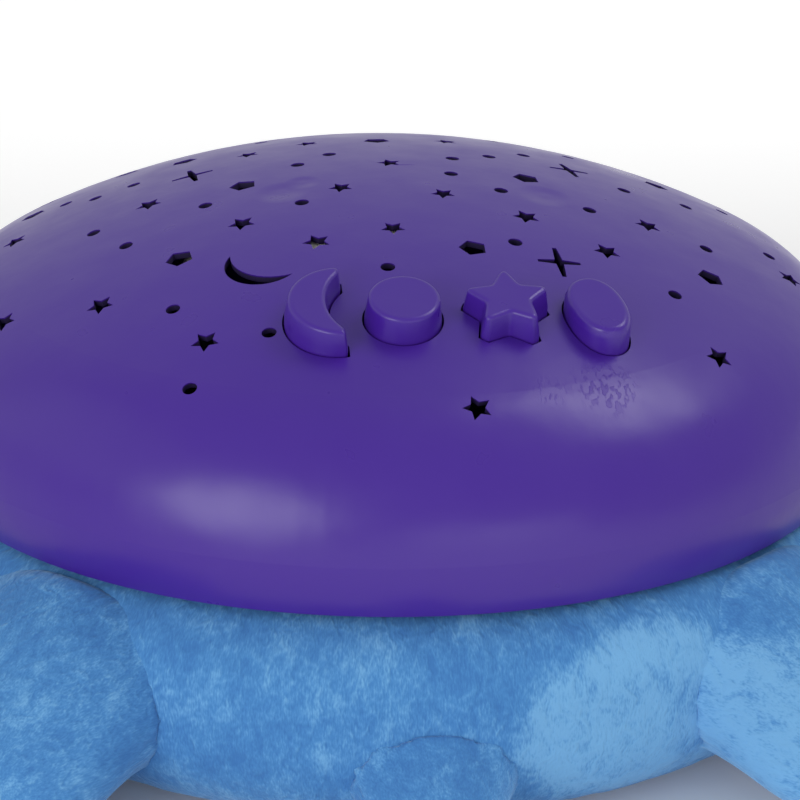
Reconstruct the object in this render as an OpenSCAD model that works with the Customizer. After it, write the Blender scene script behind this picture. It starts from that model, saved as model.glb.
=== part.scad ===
// Star night light: a domed shell pierced with stars, seated in a plush turtle.
// Millimetres, +Z up, +Y towards the turtle's head. The origin is on the shell's axis, on the ground.

/* [Shell] */
// Outer diameter of the dome shell at its widest circle
shell_d = 200; // [190:1:210]
// Rise of the dome from its widest circle to its top
dome_rise = 48; // [44:0.5:54]
// Radius of the rounded shoulder above the widest circle
shoulder_r = 31; // [26:0.5:34]
// Radius of the tucked edge below the widest circle
tuck_r = 22.5; // [18:0.5:26]
// Depth of the rim below the widest circle
rim_drop = 10.8; // [8:0.2:13]
// Height of the rim above the ground
rim_z = 46; // [44:0.5:50]
// Wall thickness of the shell
shell_wall = 1.4; // [1.2:0.1:2.4]

/* [Light holes] */
// Diameter of the round holes
dot_d = 2.9; // [2:0.1:3.6]
// Diameter of the circle round the large five-point stars
star_d = 5.9; // [5:0.1:6.6]
// Diameter of the circle round the small five-point stars
small_star_d = 5.2; // [4:0.1:5.6]
// Diameter of the circle round the pentagons
pentagon_d = 5.8; // [4.6:0.1:6.4]
// Length of the four-point stars' long arms, tip to tip
cross_l = 10.6; // [9:0.1:11]
// Length of the four-point stars' short arms, tip to tip
cross_w = 8.8; // [7:0.1:9.4]
// Radius of the crescent holes' outer arc
crescent_r = 7.7; // [7:0.1:8]

/* [Buttons] */
// Distance of the button row in from the shell's edge
panel_inset = 37.5; // [35:0.5:40]
// Height of the buttons above the shell
button_lift = 5.3; // [4:0.1:6]
// Draft of the buttons: how much further out their sides are at the shell than at the top
button_draft = 0.65; // [0.4:0.05:0.8]
// Clearance round each button in its opening
button_gap = 0.35; // [0.25:0.05:0.5]
// Travel of the buttons
button_travel = 1; // [0.6:0.1:1.2]
// Diameter of the round button's top
round_d = 13.6; // [12:0.1:14.5]
// Radius of the moon button's outer arc
moon_r = 10; // [9.4:0.1:10.5]
// Radius of the moon button's hollow side
moon_bite_r = 13; // [12:0.1:15]
// Radius of the star button over its blunt points
star_button_r = 7.8; // [7:0.1:8.2]
// Radius of the star button's inner corners
star_waist_r = 4.5; // [4:0.1:4.8]
// Length of the oval button's top
oval_l = 16.2; // [15:0.1:16.8]
// Width of the oval button's top
oval_w = 10; // [9:0.1:10.6]

/* [Base housing] */
// Height of the housing's underside above the ground
housing_z = 13; // [12:0.5:15]
// Outer radius of the well that holds the electronics
well_r = 62; // [60:0.5:66]
// Wall thickness of the housing
housing_wall = 2.4; // [2:0.1:3]
// Clearance between the housing's flange and the shell's rim
rim_gap = 0.4; // [0.3:0.1:0.8]
// Diameter of the screw posts under the shell
post_d = 7.4; // [7:0.1:9]
// Number of screw posts
post_count = 6; // [4:1:6]
// Height of the circuit board above the housing's underside
main_board_lift = 21; // [20:0.5:24]
// Thickness of the circuit boards
board_t = 1.6; // [1.2:0.1:2]
// Height of the light tower
tower_h = 24; // [20:0.5:28]
// Outer radius of the light tower
tower_r = 15; // [14:0.5:17]

/* [Batteries] */
// Diameter of a AAA cell
cell_d = 10.5; // [10.3:0.1:10.6]
// Length of a AAA cell
cell_l = 44.5; // [44:0.1:45]
// Clearance between the cells and the bay
cell_gap = 0.6; // [0.4:0.1:1]
// Length of a pressed battery spring
spring_l = 5; // [4:0.5:6]
// Thickness of the battery door
door_t = 2.4; // [2.2:0.1:3]
// Width of the ledge that the battery door closes on
ledge_w = 2; // [1.5:0.1:3]

/* [Plush] */
// How far the plush body stands out past the shell
plush_overhang = 5.5; // [4:0.5:8]
// Gap between a soft piece and its neighbour
soft_gap = 0.3; // [0.3:0.05:0.5]
// Thickness of the belly flap
flap_t = 5; // [4:0.1:5.5]
// Width of the belly flap
flap_w = 62; // [58:1:70]
// Thickness of one half of the hook-and-loop closure
tape_t = 0.8; // [0.6:0.1:1]
// Reach of the front flippers from the shell's axis
front_reach = 152; // [142:1:160]
// Reach of the rear flippers from the shell's axis
rear_reach = 138; // [130:1:146]
// Reach of the head from the shell's axis
head_reach = 164; // [156:1:172]
// Radius of the head
head_r = 28; // [25:0.5:29]
// Length of the tail
tail_l = 24; // [18:1:30]

/* [Hidden] */

$fn = 64;
shell_purple = "#4d3693";
plush_blue = "#4a83c4";
cream = "#efe6cf";
charcoal = "#2b2930";
board_green = "#2f6b45";
steel = "#b9bbc0";

// Dome: a crown arc and a shoulder arc that meet without a crease, and a tuck arc below
shell_r = shell_d / 2;
shoulder_x = shell_r - shoulder_r;
tuck_x = shell_r - tuck_r;
crown_r = (shoulder_x ^ 2 + dome_rise ^ 2 - shoulder_r ^ 2) / (2 * (dome_rise - shoulder_r));
crown_drop = crown_r - dome_rise;
crown_half_angle = atan2(shoulder_x, crown_drop);
crown_edge_r = crown_r * sin(crown_half_angle);
equator_z = rim_z + rim_drop;
panel_r = shell_r - panel_inset;
rim_inner_r = tuck_x + sqrt((tuck_r - shell_wall) ^ 2 - rim_drop ^ 2);

function ring_tilt(r) =
    r < crown_edge_r ? asin(r / crown_r) : asin((r - shoulder_x) / shoulder_r);
function ring_z(r) =
    equator_z + (r < crown_edge_r
        ? sqrt(crown_r ^ 2 - r ^ 2) - crown_drop
        : sqrt(shoulder_r ^ 2 - (r - shoulder_x) ^ 2));
// How far the crown lies below the plane that touches it at the panel's centre
function crown_sag(x, y) = crown_r - sqrt(crown_r ^ 2 - x ^ 2 - y ^ 2);

// A point given in the plane of the button row: across, up the slope and out of the shell
panel_tilt = ring_tilt(panel_r);
PANEL_UP = [0, -sin(panel_tilt), cos(panel_tilt)];
function panel_point(x, y, z) = [
    x,
    y * cos(panel_tilt) - z * sin(panel_tilt) - panel_r,
    y * sin(panel_tilt) + z * cos(panel_tilt) + ring_z(panel_r)
];
// A point at some depth under the crown that keeps its place in the pattern of light holes
function crown_point(x, y, depth) = [
    x * shell_r / 100,
    y * shell_r / 100,
    ring_z(norm([x, y]) * shell_r / 100) - depth
];

// Light holes: [distance from the axis in hundredths of the shell's radius, bearing, turn]
// Bearing 0 is at -Y and grows towards +X
DOTS = [
    [14, 68], [15.5, -136], [16, 114], [18.5, -105], [25.5, 116], [26, 59], [26.5, -45], [36, 120],
    [39.5, -73], [43.5, 30.5], [43.5, 67], [46.5, -150], [47.5, 145], [48, -5], [50.5, 93],
    [52, 125], [54.5, -109], [58, -69], [60.5, -147], [61, -82], [62, -106], [64.5, 95],
    [67, 72], [68, -42.5], [69.5, -24], [70, 49], [70, -110], [85, -31], [66, 171], [71, -169],
    [79, 139], [76, -136], [83, -84], [80, 84], [84, -155], [60, -170], [77, 104], [81, 164]
];
STARS = [
    [36.5, 45, -20], [39.5, -52, 5], [40.5, -25, -29], [49, -87.5, -26], [54, 49, -18], [55, 71, 29],
    [72.5, -55.5, 8], [74, -33, -14], [83.5, 112, 0], [85.5, 43.5, -10], [86, 6, 15], [77, -96, 40],
    [85, -68, 20], [67, 155, 0], [74, -152, 24], [84.5, 172, 10], [82, -122, 36], [84, 78, 50],
    [87, 136, 18], [73, 122, 44]
];
SMALL_STARS = [
    [2, 153, 3], [16.5, -39, -10], [20, 30, -2], [29.5, -151, 24], [30, 149, 14], [33.5, -3, 36],
    [34.5, -128, 8], [50, -174, 0]
];
PENTAGONS = [
    [24.5, 179, 0], [29, 83, 10], [30, -82, 25], [43, 18, 0], [50.5, -127, 30], [55, -53, 4],
    [64, 109, 0], [66.5, -128, 14], [71, 61, 36], [72, 146, 0], [79, -172, 20], [78, -111, 0],
    [60, 160, 10]
];
CROSSES = [[41, 104, 87], [41, -106, -68], [52.5, 35, -30], [77, 153, 10], [66, -160, 30]];
CRESCENTS = [[50, -34, -7], [83, -141, 150]];

// Button row, in the plane that touches the shell at panel_r: [across, up the slope]
MOON_AT = [-19.3, -0.4];
ROUND_AT = [-2.8, -1.5];
STAR_AT = [17.1, -0.7];
OVAL_AT = [34.7, -0.4];
oval_turn = 16;
moon_back_x = -5.4;
moon_bite_x = 1.6;
moon_horn_x = 4.7;
star_point_r = star_button_r + 1;
button_flange_t = 1.2;
flange_lip = button_draft + 1;
collar_t = 1.2;
collar_foot = -8;
slide_gap = 0.3;
flange_top = collar_foot - slide_gap;
flange_foot = flange_top - button_flange_t;
stem_d = 3;
stem_foot = flange_foot - 1.5;
plunger_d = 3.2;
plunger_gap = 0.1;
plunger_l = 3;
switch_side = 6;
switch_h = 3.5;
switch_top = stem_foot - button_travel - 0.5;
switch_foot = switch_top - switch_h;
ribbon_t = 1.6;
under_crown = shell_wall + ribbon_t / 2 + 0.45;
BUTTON_BOARD = [[-36, -14], [51, 13]];
BUTTON_BOARD_SCREWS = [[-32, -8], [6.5, -11.2], [6.8, 10.2], [46.5, -2]];
boss_d = 5.6;

// Screws
screw_d = 3;
screw_pilot_d = 2.7;
screw_clear_d = 3.5;
screw_head_d = 5.6;
screw_head_h = 2;
screw_l = 10;
board_screw_d = 2.5;
board_pilot_d = 2.2;
board_clear_d = 2.9;
board_head_d = 4.6;
board_head_h = 1.6;
board_screw_l = 6;

// Housing
flange_r = rim_inner_r - rim_gap;
post_ring_r = flange_r - post_d / 2 - 4;
seat_h = 5;
post_foot_z = rim_z + seat_h;
housing_boss_d = post_d + 3;
well_floor_z = housing_z + housing_wall;
main_board_z = housing_z + main_board_lift;
main_board_r = well_r - housing_wall - 5;
board_screw_x = 38;
board_screw_y = 30;
MAIN_BOARD_SCREWS = [for (x = [-1, 1], y = [-1, 1]) [x * board_screw_x, y * board_screw_y]];
chip_l = 12;
chip_w = 8;
chip_y = -34;
capacitor_d = 8;
capacitor_h = 11.5;
capacitor_x = 20;
capacitor_y = -26;
socket_h = 1;
tower_foot_z = main_board_z + board_t;
tower_wall = 2;
tower_flange_r = tower_r + 7;
tower_top_z = tower_foot_z + tower_h;
TOWER_SCREWS = [[tower_r + 3.5, 0], [-tower_r - 3.5, 0]];
led_board_r = tower_r;
LED_BOARD_SCREWS = [[0, tower_r - 3.5], [0, 3.5 - tower_r]];
led_r = 2.5;
led_rim_r = 2.9;
led_body_h = 5;
led_ring_r = 5.6;

// Battery bay
contact_t = 0.4;
cell_pitch = cell_d + cell_gap;
bay_wall = 2;
bay_w = 3 * cell_pitch + cell_gap;
bay_l = cell_l + spring_l + 2 * contact_t + cell_gap;
bay_top_z = well_floor_z + cell_d + 2 * cell_gap;
cell_z = well_floor_z + cell_gap + cell_d / 2;
door_gap = 0.3;
door_w = bay_w + 2 * ledge_w;
door_front_y = -bay_l / 2 - ledge_w;
knuckle_r = door_t / 2;
hinge_y = bay_l / 2 + ledge_w;
hinge_z = housing_z + door_t - knuckle_r;
hinge_pin_r = 0.8;
hinge_bore_r = 0.88;
hinge_pin_l = 1.6;
tongue_w = 14;
tongue_l = 9;
door_screw_y = door_front_y - tongue_l / 2;
door_screw_reach = 3;
door_screw_gap = 0.45;
door_seat_d = 9;

// Plush
body_r = shell_r + plush_overhang;
body_top_z = rim_z - soft_gap;
body_top_arc = 17;
body_foot_arc = 24;
pocket_gap = 0.4;
recess_z = flap_t + 2 * tape_t;
flap_hinge_y = hinge_y + 13;
flap_front_y = -62;
window_w = flap_w - 10;
window_front_y = flap_front_y + 11;
window_back_y = hinge_y + 3;
tape_l = 8;
head_y = head_reach - head_r - 9;
head_z = 39;
rear_bearing = 42;
front_bearing = 124;
front_breadth = 23;
rear_breadth = 24;
front_turn = 13;
rear_turn = -5;
front_root_z = 20;
rear_root_z = 25;
limb_sink = 10;
flipper_root_l = 14;
flipper_mid_l = 17;
flipper_mid_z = 15;
flipper_mid_h = 14;
flipper_tip_l = 13;
flipper_tip_z = 10;
flipper_tip_h = 9;
seam_clear = 3;
tail_root_z = 16;
tail_tip_r = 9;
tail_tip_z = 8.5;

// ---- Dome shell ----

// Right half of the dome's section, shrunk by inset and carried down by extra
module dome_section(inset, extra) {
    intersection() {
        union() {
            translate([tuck_x, 0])
                circle(r = tuck_r - inset, $fn = 128);
            intersection() {
                translate([shoulder_x, 0])
                    circle(r = shoulder_r - inset, $fn = 160);
                square([2 * shell_r, 2 * dome_rise]);
            }
            intersection() {
                translate([0, -crown_drop])
                    circle(r = crown_r - inset, $fn = 720);
                polygon([
                    [0, -crown_drop],
                    [2 * shoulder_x, crown_drop],
                    [0, 2 * dome_rise]
                ]);
            }
            translate([0, -rim_drop - extra])
                square([tuck_x, rim_drop + extra]);
        }
        translate([0, -rim_drop - extra])
            square([2 * shell_r, rim_drop + extra + 2 * dome_rise]);
    }
}

module dome_solid(inset, extra = 0) {
    translate([0, 0, equator_z])
        rotate_extrude($fn = 180)
            dome_section(inset, extra);
}

module at_ring(r, bearing) {
    rotate([0, 0, bearing])
        translate([0, -r, ring_z(r)])
            rotate([ring_tilt(r), 0, 0])
                children();
}

module on_panel() {
    at_ring(panel_r, 0)
        children();
}

// One pierced hole for each place, square to the shell's surface
module pierce(places) {
    for (place = places)
        at_ring(place[0] * shell_r / 100, place[1])
            rotate([0, 0, len(place) > 2 ? place[2] : 0])
                translate([0, 0, -2 * shell_wall])
                    linear_extrude(3 * shell_wall)
                        children();
}

module star_outline(points, tip_r, waist_r) {
    polygon([
        for (i = [0 : 2 * points - 1])
            let (r = i % 2 == 0 ? tip_r : waist_r, a = 90 + 180 * i / points)
                [r * cos(a), r * sin(a)]
    ]);
}

// Two crossed bars, widest in the middle, with blunt ends
module cross_outline() {
    tip = 0.05 * cross_w;
    waist = 0.1 * cross_w;
    for (bar = [[cross_l / 2, 0], [cross_w / 2, 90]])
        rotate([0, 0, bar[1]])
            polygon([
                [-tip, bar[0]], [-waist, 0], [-tip, -bar[0]], [tip, -bar[0]], [waist, 0], [tip, bar[0]]
            ]);
}

module crescent_outline() {
    difference() {
        circle(r = crescent_r);
        translate([0, 0.65 * crescent_r])
            circle(r = 1.24 * crescent_r);
    }
}

module light_holes() {
    pierce(DOTS)
        circle(d = dot_d, $fn = 24);
    pierce(STARS)
        star_outline(5, star_d / 2, star_d / 4);
    pierce(SMALL_STARS)
        star_outline(5, small_star_d / 2, small_star_d / 4);
    pierce(PENTAGONS)
        rotate([0, 0, 90])
            circle(d = pentagon_d, $fn = 5);
    pierce(CROSSES)
        cross_outline();
    pierce(CRESCENTS)
        crescent_outline();
}

module at_posts() {
    for (i = [0 : post_count - 1])
        rotate([0, 0, 360 * i / post_count])
            translate([0, -post_ring_r, 0])
                children();
}

// Columns, guide collars and bosses that hang from the inside of the shell
module shell_inner_features() {
    intersection() {
        union() {
            at_posts()
                translate([0, 0, post_foot_z])
                    cylinder(d = post_d, h = equator_z + dome_rise - post_foot_z);
            on_panel()
                translate([0, 0, collar_foot])
                    button_blocks(-collar_foot, button_draft + button_gap + collar_t);
            on_panel()
                for (place = BUTTON_BOARD_SCREWS)
                    translate([place[0], place[1], switch_foot])
                        cylinder(d = boss_d, h = -switch_foot);
        }
        dome_solid(shell_wall / 2);
    }
}

module dome_shell() {
    color(shell_purple)
        difference() {
            union() {
                difference() {
                    dome_solid(0);
                    dome_solid(shell_wall, 1);
                }
                shell_inner_features();
            }
            light_holes();
            on_panel()
                translate([0, 0, 2 * collar_foot])
                    button_blocks(4 * -collar_foot, button_draft + button_gap);
            at_posts()
                translate([0, 0, post_foot_z - 1])
                    cylinder(d = screw_pilot_d, h = screw_l);
            on_panel()
                for (place = BUTTON_BOARD_SCREWS)
                    translate([place[0], place[1], switch_foot - 1])
                        cylinder(d = board_pilot_d, h = board_screw_l);
        }
}

// ---- Buttons and their switches ----

// Each shape is a block of height h, whose outline is that of the button's top grown by foot at its
// foot and by top at its top

// A disc with a larger disc bitten out of it, cut short so that its horns are blunt
module moon_block(h, foot, top) {
    slope = (top - foot) / h;
    intersection() {
        difference() {
            translate([moon_back_x + moon_r, 0, 0])
                cylinder(r1 = moon_r + foot, r2 = moon_r + top, h = h);
            translate([moon_bite_x + moon_bite_r, 0, -1])
                cylinder(
                    r1 = moon_bite_r - foot + slope, r2 = moon_bite_r - top - slope, h = h + 2, $fn = 96
                );
        }
        translate([moon_horn_x + foot - 3 * moon_r, -2 * moon_r, 0])
            cube([3 * moon_r, 4 * moon_r, h]);
    }
}

module round_block(h, foot, top) {
    cylinder(r1 = round_d / 2 + foot, r2 = round_d / 2 + top, h = h);
}

// A straight-sided star whose points are cut short by a disc
module star_block(h, foot, top) {
    tip_to_waist = norm([star_point_r - star_waist_r * cos(36), star_waist_r * sin(36)]);
    side_d = star_point_r * star_waist_r * sin(36) / tip_to_waist;
    intersection() {
        cylinder(r1 = star_button_r + foot, r2 = star_button_r + top, h = h);
        linear_extrude(h, scale = (side_d + top) / (side_d + foot))
            star_outline(5, star_point_r * (1 + foot / side_d), star_waist_r * (1 + foot / side_d));
    }
}

// An oval a little fuller than an ellipse
module oval_outline(grow) {
    steps = 48;
    fullness = 0.92;
    polygon([
        for (i = [0 : steps - 1])
            let (c = cos(360 * i / steps), s = sin(360 * i / steps))
                [
                    (oval_w / 2 + grow) * sign(c) * abs(c) ^ fullness,
                    (oval_l / 2 + grow) * sign(s) * abs(s) ^ fullness
                ]
    ]);
}

module oval_block(h, foot, top) {
    rotate([0, 0, oval_turn])
        linear_extrude(
            h, scale = [(oval_w + 2 * top) / (oval_w + 2 * foot), (oval_l + 2 * top) / (oval_l + 2 * foot)],
            slices = 1
        )
            oval_outline(foot);
}

module button_blocks(h, grow) {
    translate(MOON_AT)
        moon_block(h, grow, grow);
    translate(ROUND_AT)
        round_block(h, grow, grow);
    translate(STAR_AT)
        star_block(h, grow, grow);
    translate(OVAL_AT)
        oval_block(h, grow, grow);
}

function button_top(place) = button_lift - crown_sag(place[0], place[1]);

// A cap with a retaining flange and a stem; children are the tapered cap, its skirt and its flange
module button(place) {
    color(shell_purple)
        on_panel()
            translate(place) {
                children(0);
                translate([0, 0, flange_foot])
                    children(1);
                translate([0, 0, flange_foot])
                    children(2);
                translate([0, 0, stem_foot])
                    cylinder(d = stem_d, h = flange_top - stem_foot);
            }
}

module moon_button() {
    button(MOON_AT) {
        moon_block(button_top(MOON_AT), button_draft, 0);
        moon_block(-flange_foot, button_draft, button_draft);
        moon_block(button_flange_t, flange_lip, flange_lip);
    }
}

module round_button() {
    button(ROUND_AT) {
        round_block(button_top(ROUND_AT), button_draft, 0);
        round_block(-flange_foot, button_draft, button_draft);
        round_block(button_flange_t, flange_lip, flange_lip);
    }
}

module star_button() {
    button(STAR_AT) {
        star_block(button_top(STAR_AT), button_draft, 0);
        star_block(-flange_foot, button_draft, button_draft);
        star_block(button_flange_t, flange_lip, flange_lip);
    }
}

module oval_button() {
    button(OVAL_AT) {
        oval_block(button_top(OVAL_AT), button_draft, 0);
        oval_block(-flange_foot, button_draft, button_draft);
        oval_block(button_flange_t, flange_lip, flange_lip);
    }
}

module plunger(place) {
    color(charcoal)
        on_panel()
            translate([place[0], place[1], stem_foot - plunger_l])
                cylinder(d = plunger_d, h = plunger_l, $fn = 32);
}

module switch_bodies() {
    color(steel)
        on_panel()
            for (place = [MOON_AT, ROUND_AT, STAR_AT, OVAL_AT])
                difference() {
                    translate([place[0] - switch_side / 2, place[1] - switch_side / 2, switch_foot])
                        cube([switch_side, switch_side, switch_h]);
                    translate([place[0], place[1], stem_foot - plunger_l - button_travel - 0.2])
                        cylinder(d = plunger_d + 2 * plunger_gap, h = switch_h + 4, $fn = 32);
                }
}

module button_board() {
    low = BUTTON_BOARD[0];
    high = BUTTON_BOARD[1];
    color(board_green)
        on_panel()
            difference() {
                translate([low[0], low[1], switch_foot - board_t])
                    cube([high[0] - low[0], high[1] - low[1], board_t]);
                for (place = BUTTON_BOARD_SCREWS)
                    translate([place[0], place[1], switch_foot - 2 * board_t])
                        cylinder(d = board_clear_d, h = 3 * board_t);
            }
}

// ---- Leads ----

function unit(v) = v / norm(v);
function tangent(path, i) =
    unit(path[min(i + 1, len(path) - 1)] - path[max(i - 1, 0)]);
// Points between the hand-set ones, on a curve that passes through them all
function smooth_point(p, i, t) =
    let (
        a = p[max(i - 1, 0)],
        b = p[i],
        c = p[i + 1],
        d = p[min(i + 2, len(p) - 1)]
    )
    0.5 * (2 * b + (c - a) * t + (2 * a - 5 * b + 4 * c - d) * t ^ 2 + (3 * b - a - 3 * c + d) * t ^ 3);
function smooth_path(p, steps) = [
    for (i = [0 : len(p) - 2], s = [0 : steps - 1]) smooth_point(p, i, s / steps),
    p[len(p) - 1]
];

// A lead of oval section, wide along the side direction, swept along a path
// The side is one direction, or one for each point of the path
module sweep(path, wide, thick, side, sides = 8) {
    rings = [
        for (i = [0 : len(path) - 1])
            let (
                t = tangent(path, i),
                s = is_list(side[0]) ? side[i] : side,
                across = unit(s - (s * t) * t),
                up = cross(t, across)
            )
            [for (k = [0 : sides - 1])
                path[i] + across * cos(360 * k / sides) * wide / 2 + up * sin(360 * k / sides) * thick / 2]
    ];
    last = len(path) - 1;
    polyhedron(
        points = [for (ring = rings) each ring],
        faces = [
            [for (k = [0 : sides - 1]) k],
            for (i = [0 : last - 1], k = [0 : sides - 1])
                let (n = (k + 1) % sides)
                    [i * sides + k, (i + 1) * sides + k, (i + 1) * sides + n, i * sides + n],
            [for (k = [sides - 1 : -1 : 0]) last * sides + k]
        ],
        convexity = 6
    );
}

// The ribbon leaves the button board, lies close under the crown and comes down to the circuit board
BUTTON_LEAD_ROUTE = [
    panel_point(14, 5, switch_foot - board_t - 1.1), panel_point(14, 14, switch_foot - board_t - 1.1),
    panel_point(13, 24, switch_foot + 2), crown_point(7.5, -31, under_crown + 0.8),
    crown_point(-1, -29.5, under_crown), crown_point(-16, -31.5, under_crown),
    crown_point(-30, -29.5, under_crown), crown_point(-40, -26.5, under_crown + 0.9),
    [-47, -22, 85], [-51, -14, 73], [-54, -4, 60], [-52, 2, 48], [-47, 4, 40.5], [-47, 4, 37]
];
// The ribbon's thin direction at each of those points
BUTTON_LEAD_NORMALS = [
    PANEL_UP, PANEL_UP, [0, -0.7, 0.7], [0, -0.3, 1], [0, -0.16, 1], [-0.08, -0.18, 1], [-0.17, -0.17, 1],
    [-0.35, -0.15, 1], [-1, 0, 0.6], [-1, 0, 0.2], [-1, 0, 0], [-1, 0, -0.1], [-1, 0, 0], [-1, 0, 0]
];
LED_LEAD_ROUTE = [
    [30, 0, tower_foot_z + socket_h + 0.1], [30, 0, 40], [27, 0, 44], [22.5, 0, 52],
    [19, 0, tower_top_z + 0.6], [tower_r + 0.3, 0, tower_top_z + 0.8]
];

module button_leads() {
    color(cream)
        sweep(smooth_path(BUTTON_LEAD_ROUTE, 4), ribbon_t, 7, smooth_path(BUTTON_LEAD_NORMALS, 4));
}

module led_leads() {
    color(cream)
        sweep(smooth_path(LED_LEAD_ROUTE, 3), 5, 1.4, [0, 1, 0]);
}

// ---- Base housing and electronics ----

module housing_section() {
    inner = well_r - housing_wall;
    top = rim_z + housing_wall;
    polygon([
        [0, housing_z], [well_r, housing_z], [well_r, rim_z], [flange_r, rim_z], [flange_r, top],
        [inner, top], [inner, well_floor_z], [0, well_floor_z]
    ]);
}

module base_housing() {
    door_cut_w = door_w + 2 * door_gap;
    door_cut_back = hinge_y + knuckle_r + door_gap;
    color(charcoal)
        difference() {
            union() {
                rotate_extrude($fn = 160)
                    housing_section();
                at_posts()
                    translate([0, 0, rim_z])
                        cylinder(d = housing_boss_d, h = seat_h);
                for (place = MAIN_BOARD_SCREWS)
                    translate([place[0], place[1], housing_z + 1])
                        cylinder(d = post_d, h = main_board_lift - 1);
                translate([-door_w / 2 - bay_wall, door_front_y - bay_wall, housing_z])
                    cube([
                        door_w + 2 * bay_wall,
                        door_cut_back - door_front_y + 2 * bay_wall,
                        bay_top_z + bay_wall - housing_z
                    ]);
                translate([0, door_screw_y, housing_z])
                    cylinder(d = door_seat_d + 2 * bay_wall, h = door_t + 4 + door_screw_reach);
            }
            at_posts() {
                translate([0, 0, rim_z - 1])
                    cylinder(d = screw_head_d + 0.8, h = 1 + seat_h - 2);
                translate([0, 0, rim_z - 1])
                    cylinder(d = screw_clear_d, h = seat_h + 2);
            }
            for (place = MAIN_BOARD_SCREWS)
                translate([place[0], place[1], main_board_z - board_screw_l])
                    cylinder(d = board_pilot_d, h = board_screw_l + 1);
            translate([-bay_w / 2, -bay_l / 2, housing_z - 1])
                cube([bay_w, bay_l, bay_top_z - housing_z + 1]);
            translate([-door_cut_w / 2, door_front_y - door_gap, housing_z - 1])
                cube([door_cut_w, door_cut_back - door_front_y + door_gap, 1 + door_t + door_gap]);
            translate([-tongue_w / 2 - door_gap, door_front_y - tongue_l - door_gap, housing_z - 1])
                cube([tongue_w + 2 * door_gap, tongue_l + 1, 1 + door_t + door_gap]);
            translate([0, door_screw_y, housing_z])
                cylinder(d = screw_d + 2 * door_screw_gap, h = door_t + door_gap + door_screw_reach + 0.6);
            translate([-door_cut_w / 2 - hinge_pin_l, hinge_y, hinge_z])
                rotate([0, 90, 0])
                    cylinder(r = hinge_bore_r, h = door_cut_w + 2 * hinge_pin_l, $fn = 32);
            for (x = [-cell_pitch, cell_pitch])
                translate([x - 2, contact_tab_y(x) - 0.5, bay_top_z - 1])
                    cube([4, 1.4, bay_wall + 2]);
        }
}

// Screw standing on its head, or hanging from it, with the shaft along +Z from the origin
module screw(d, length, head_d, head_h) {
    cylinder(d = d, h = length, $fn = 24);
    translate([0, 0, -head_h])
        difference() {
            cylinder(d = head_d, h = head_h, $fn = 32);
            for (turn = [0, 90])
                rotate([0, 0, turn])
                    translate([-0.3 * head_d, -0.3, -1])
                        cube([0.6 * head_d, 0.6, 1 + 0.5 * head_h]);
        }
}

module housing_screws() {
    color(steel)
        at_posts()
            translate([0, 0, post_foot_z - 2])
                screw(screw_d, screw_l, screw_head_d, screw_head_h);
}

module board_screw() {
    screw(board_screw_d, board_screw_l, board_head_d, board_head_h);
}

module board_screws() {
    color(steel) {
        on_panel()
            for (place = BUTTON_BOARD_SCREWS)
                translate([place[0], place[1], switch_foot - board_t])
                    board_screw();
        for (place = MAIN_BOARD_SCREWS)
            translate([place[0], place[1], main_board_z + board_t])
                rotate([180, 0, 0])
                    board_screw();
        for (place = TOWER_SCREWS)
            translate([place[0], place[1], main_board_z])
                board_screw();
        for (place = LED_BOARD_SCREWS)
            translate([place[0], place[1], tower_top_z + board_t])
                rotate([180, 0, 0])
                    board_screw();
    }
}

module main_board() {
    color(board_green)
        translate([0, 0, main_board_z])
            difference() {
                cylinder(r = main_board_r, h = board_t, $fn = 128);
                for (place = concat(MAIN_BOARD_SCREWS, TOWER_SCREWS))
                    translate([place[0], place[1], -1])
                        cylinder(d = board_clear_d, h = board_t + 2);
            }
}

// A control chip, two capacitors and the sockets of the two ribbons
module board_components() {
    color(charcoal)
        translate([0, 0, tower_foot_z]) {
            translate([-chip_l / 2, chip_y - chip_w / 2, 0])
                cube([chip_l, chip_w, chip_w / 4]);
            translate([capacitor_x, capacitor_y, 0])
                cylinder(d = capacitor_d, h = capacitor_h);
            translate([capacitor_x + capacitor_d, capacitor_y + capacitor_d, 0])
                cylinder(d = capacitor_d * 0.8, h = capacitor_h * 0.8);
            translate([-49.5, 0, 0])
                cube([5, 8, socket_h]);
            translate([27.5, -3, 0])
                cube([5, 6, socket_h]);
        }
}

module light_tower() {
    color(cream)
        difference() {
            union() {
                translate([0, 0, tower_foot_z])
                    cylinder(r = tower_flange_r, h = 3);
                translate([0, 0, tower_foot_z])
                    cylinder(r = tower_r, h = tower_h);
                for (place = TOWER_SCREWS)
                    translate([place[0], place[1], tower_foot_z])
                        cylinder(d = boss_d, h = board_screw_l);
            }
            difference() {
                translate([0, 0, tower_foot_z - 1])
                    cylinder(r = tower_r - tower_wall, h = tower_h + 2);
                for (place = LED_BOARD_SCREWS)
                    translate([place[0], place[1], tower_top_z - 10])
                        cylinder(d = boss_d, h = 12);
            }
            for (place = TOWER_SCREWS)
                translate([place[0], place[1], tower_foot_z - 1])
                    cylinder(d = board_pilot_d, h = board_screw_l);
            for (place = LED_BOARD_SCREWS)
                translate([place[0], place[1], tower_top_z - board_screw_l])
                    cylinder(d = board_pilot_d, h = board_screw_l + 1);
        }
}

module led_board() {
    color("white")
        translate([0, 0, tower_top_z])
            difference() {
                cylinder(r = led_board_r, h = board_t);
                for (place = LED_BOARD_SCREWS)
                    translate([place[0], place[1], -1])
                        cylinder(d = board_clear_d, h = board_t + 2);
            }
}

module led(i, tint) {
    color(tint)
        rotate([0, 0, 30 + 120 * i])
            translate([led_ring_r, 0, tower_top_z + board_t]) {
                cylinder(r = led_rim_r, h = 1, $fn = 32);
                cylinder(r = led_r, h = led_body_h, $fn = 32);
                translate([0, 0, led_body_h])
                    sphere(r = led_r, $fn = 32);
            }
}

// ---- Batteries ----

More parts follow.
